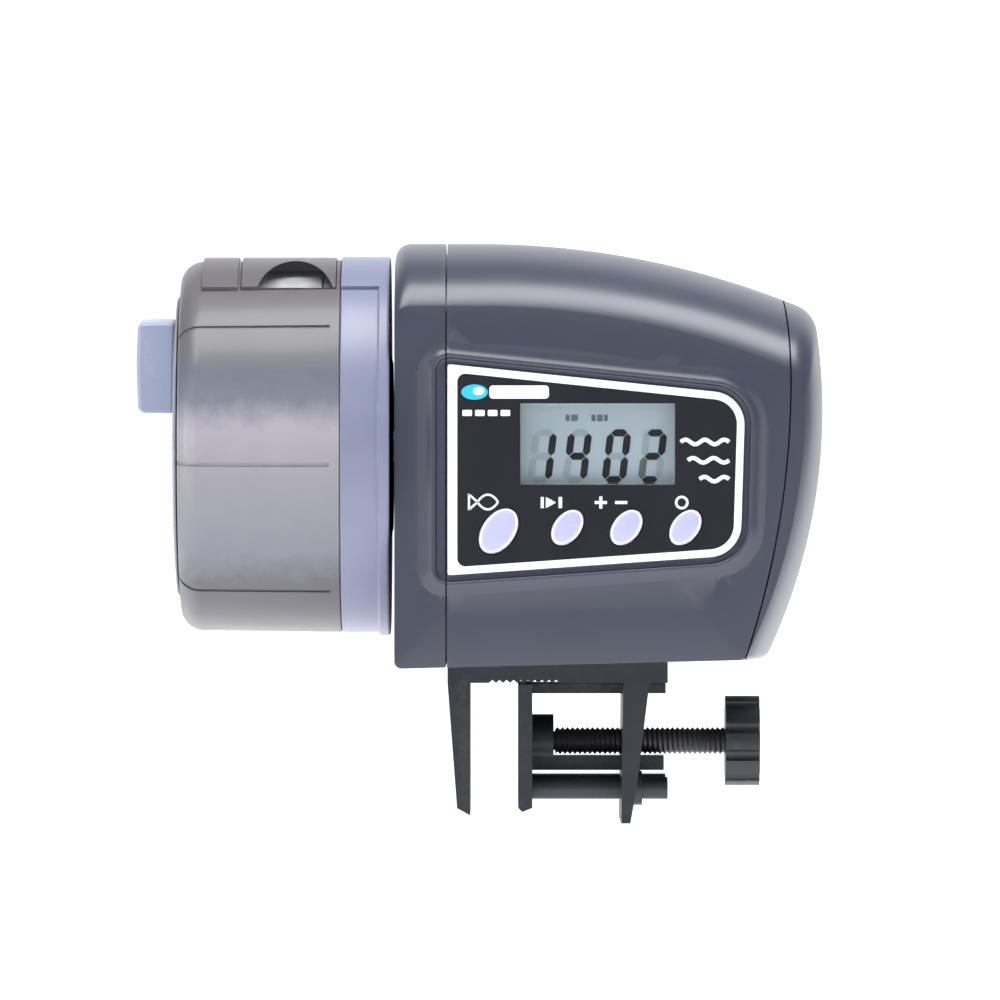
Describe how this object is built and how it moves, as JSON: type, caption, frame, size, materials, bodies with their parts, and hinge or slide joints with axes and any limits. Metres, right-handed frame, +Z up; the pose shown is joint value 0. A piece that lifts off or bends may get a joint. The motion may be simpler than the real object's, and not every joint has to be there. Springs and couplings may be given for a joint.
{
  "type": "automatic fish feeder",
  "caption": "Battery-powered feeder with a smoked turning food drum on one end, a timer panel with display and buttons, and a screw clamp for a tank's rim.",
  "frame": {"origin": "middle of the flat seat under the clamp bracket, the face that rests on the rim of the tank", "axes": "+X along the unit from the food drum to the battery cover, -Y out of the control panel, +Z up"},
  "size_m": [0.1369, 0.0756, 0.1152],
  "materials": {
    "housing_plastic": "satin charcoal",
    "clamp_plastic": "satin, darker charcoal",
    "smoke_clear": "warm smoked, see-through, polished",
    "ring_plastic": "light lavender blue, satin",
    "dial_plastic": "grey, satin",
    "black_plastic": "black, satin",
    "label_print": "printed film, near black with a white border",
    "window_clear": "clear, polished",
    "lcd_face": "grey-green liquid-crystal glass",
    "button_plastic": "pale lilac, satin",
    "board_laminate": "green lacquered laminate",
    "steel": "plated",
    "bush_bronze": "sintered",
    "gear_plastic": "natural white",
    "seal_rubber": "soft black",
    "cell_wrap": "plain printed wrap"
  },
  "bodies": {
    "housing": {"drum_side_shell": "housing_plastic", "main_shell": "housing_plastic", "clamp_bracket": "clamp_plastic", "battery_tray": "black_plastic", "cam_switch": "black_plastic", "control_panel": "label_print", "lcd_window": "window_clear", "lcd_module": "lcd_face", "circuit_board": "board_laminate", "gear_axles": "steel", "board_screws": "steel", "shell_screws": "steel", "bracket_screws": "steel", "gear_plate_screws": "steel", "battery_contacts": "steel", "battery_springs": "steel", "motor": "steel", "tact_switches": "steel", "shaft_bush": "bush_bronze", "gear_plate": "gear_plastic", "lcd_connector_strips": "seal_rubber", "battery_cell_front": "cell_wrap", "battery_cell_rear": "cell_wrap"},
    "drum_drive": {"output_gear": "gear_plastic", "drive_shaft": "steel", "drive_disc": "black_plastic", "position_cam": "gear_plastic", "drum_ring": "ring_plastic", "drum_seal": "seal_rubber"},
    "food_cup": {"food_drum": "smoke_clear", "outlet_frame": "smoke_clear"},
    "dose_adjuster": {"dose_dial": "dial_plastic", "dose_shutter": "dial_plastic", "dial_knob": "ring_plastic"},
    "second_wheel": {"second_gear": "gear_plastic"},
    "first_wheel": {"first_gear": "gear_plastic"},
    "motor_rotor": {"motor_pinion": "gear_plastic"},
    "feed_key": {"button_feed": "button_plastic"},
    "mode_key": {"button_mode": "button_plastic"},
    "adjust_key": {"button_adjust": "button_plastic"},
    "set_key": {"button_set": "button_plastic"},
    "cover": {"battery_cover": "housing_plastic"},
    "jaw": {"clamp_jaw": "clamp_plastic", "guide_rods": "clamp_plastic"},
    "hand_screw": {"clamp_screw": "clamp_plastic", "clamp_knob": "clamp_plastic"}
  },
  "joints": [
    {"name": "drum_spin", "type": "hinge", "parent": "housing", "child": "drum_drive", "pos_m": [-0.02, 0, 0.047], "axis": [1, 0, 0], "continuous": true},
    {"name": "cup_pull", "type": "slide", "parent": "drum_drive", "child": "food_cup", "axis": [-1, 0, 0], "range_m": [0, 0.045]},
    {"name": "dose_turn", "type": "hinge", "parent": "food_cup", "child": "dose_adjuster", "pos_m": [-0.06, 0, 0.047], "axis": [-1, 0, 0], "range_deg": [0, 45]},
    {"name": "second_gear_spin", "type": "hinge", "parent": "housing", "child": "second_wheel", "pos_m": [0, 0, 0.032], "axis": [1, 0, 0], "continuous": true},
    {"name": "first_gear_spin", "type": "hinge", "parent": "housing", "child": "first_wheel", "pos_m": [0, 0.01299, 0.0245], "axis": [1, 0, 0], "continuous": true},
    {"name": "motor_spin", "type": "hinge", "parent": "housing", "child": "motor_rotor", "pos_m": [0, 0.02049, 0.03749], "axis": [1, 0, 0], "continuous": true},
    {"name": "feed_press", "type": "slide", "parent": "housing", "child": "feed_key", "axis": [0, 1, 0], "range_m": [0, 0.0008], "stiffness_N_per_m": 600, "springref_m": -0.0012},
    {"name": "mode_press", "type": "slide", "parent": "housing", "child": "mode_key", "axis": [0, 1, 0], "range_m": [0, 0.0008], "stiffness_N_per_m": 600, "springref_m": -0.0012},
    {"name": "adjust_press", "type": "slide", "parent": "housing", "child": "adjust_key", "axis": [0, 1, 0], "range_m": [0, 0.0008], "stiffness_N_per_m": 600, "springref_m": -0.0012},
    {"name": "set_press", "type": "slide", "parent": "housing", "child": "set_key", "axis": [0, 1, 0], "range_m": [0, 0.0008], "stiffness_N_per_m": 600, "springref_m": -0.0012},
    {"name": "cover_pull", "type": "slide", "parent": "housing", "child": "cover", "axis": [1, 0, 0], "range_m": [0, 0.025]},
    {"name": "jaw_slide", "type": "slide", "parent": "housing", "child": "jaw", "axis": [1, 0, 0], "range_m": [-0.005, 0.012]},
    {"name": "screw_turn", "type": "hinge", "parent": "jaw", "child": "hand_screw", "pos_m": [0.02, 0, -0.0119], "axis": [1, 0, 0], "range_deg": [-1900, 4400]}
  ],
  "couplings": [
    {"joint": "second_gear_spin", "follows": "drum_spin", "ratio": -4},
    {"joint": "first_gear_spin", "follows": "drum_spin", "ratio": 16},
    {"joint": "motor_spin", "follows": "drum_spin", "ratio": -64},
    {"joint": "screw_turn", "follows": "jaw_slide", "rad_per_m": 6283.2}
  ]
}
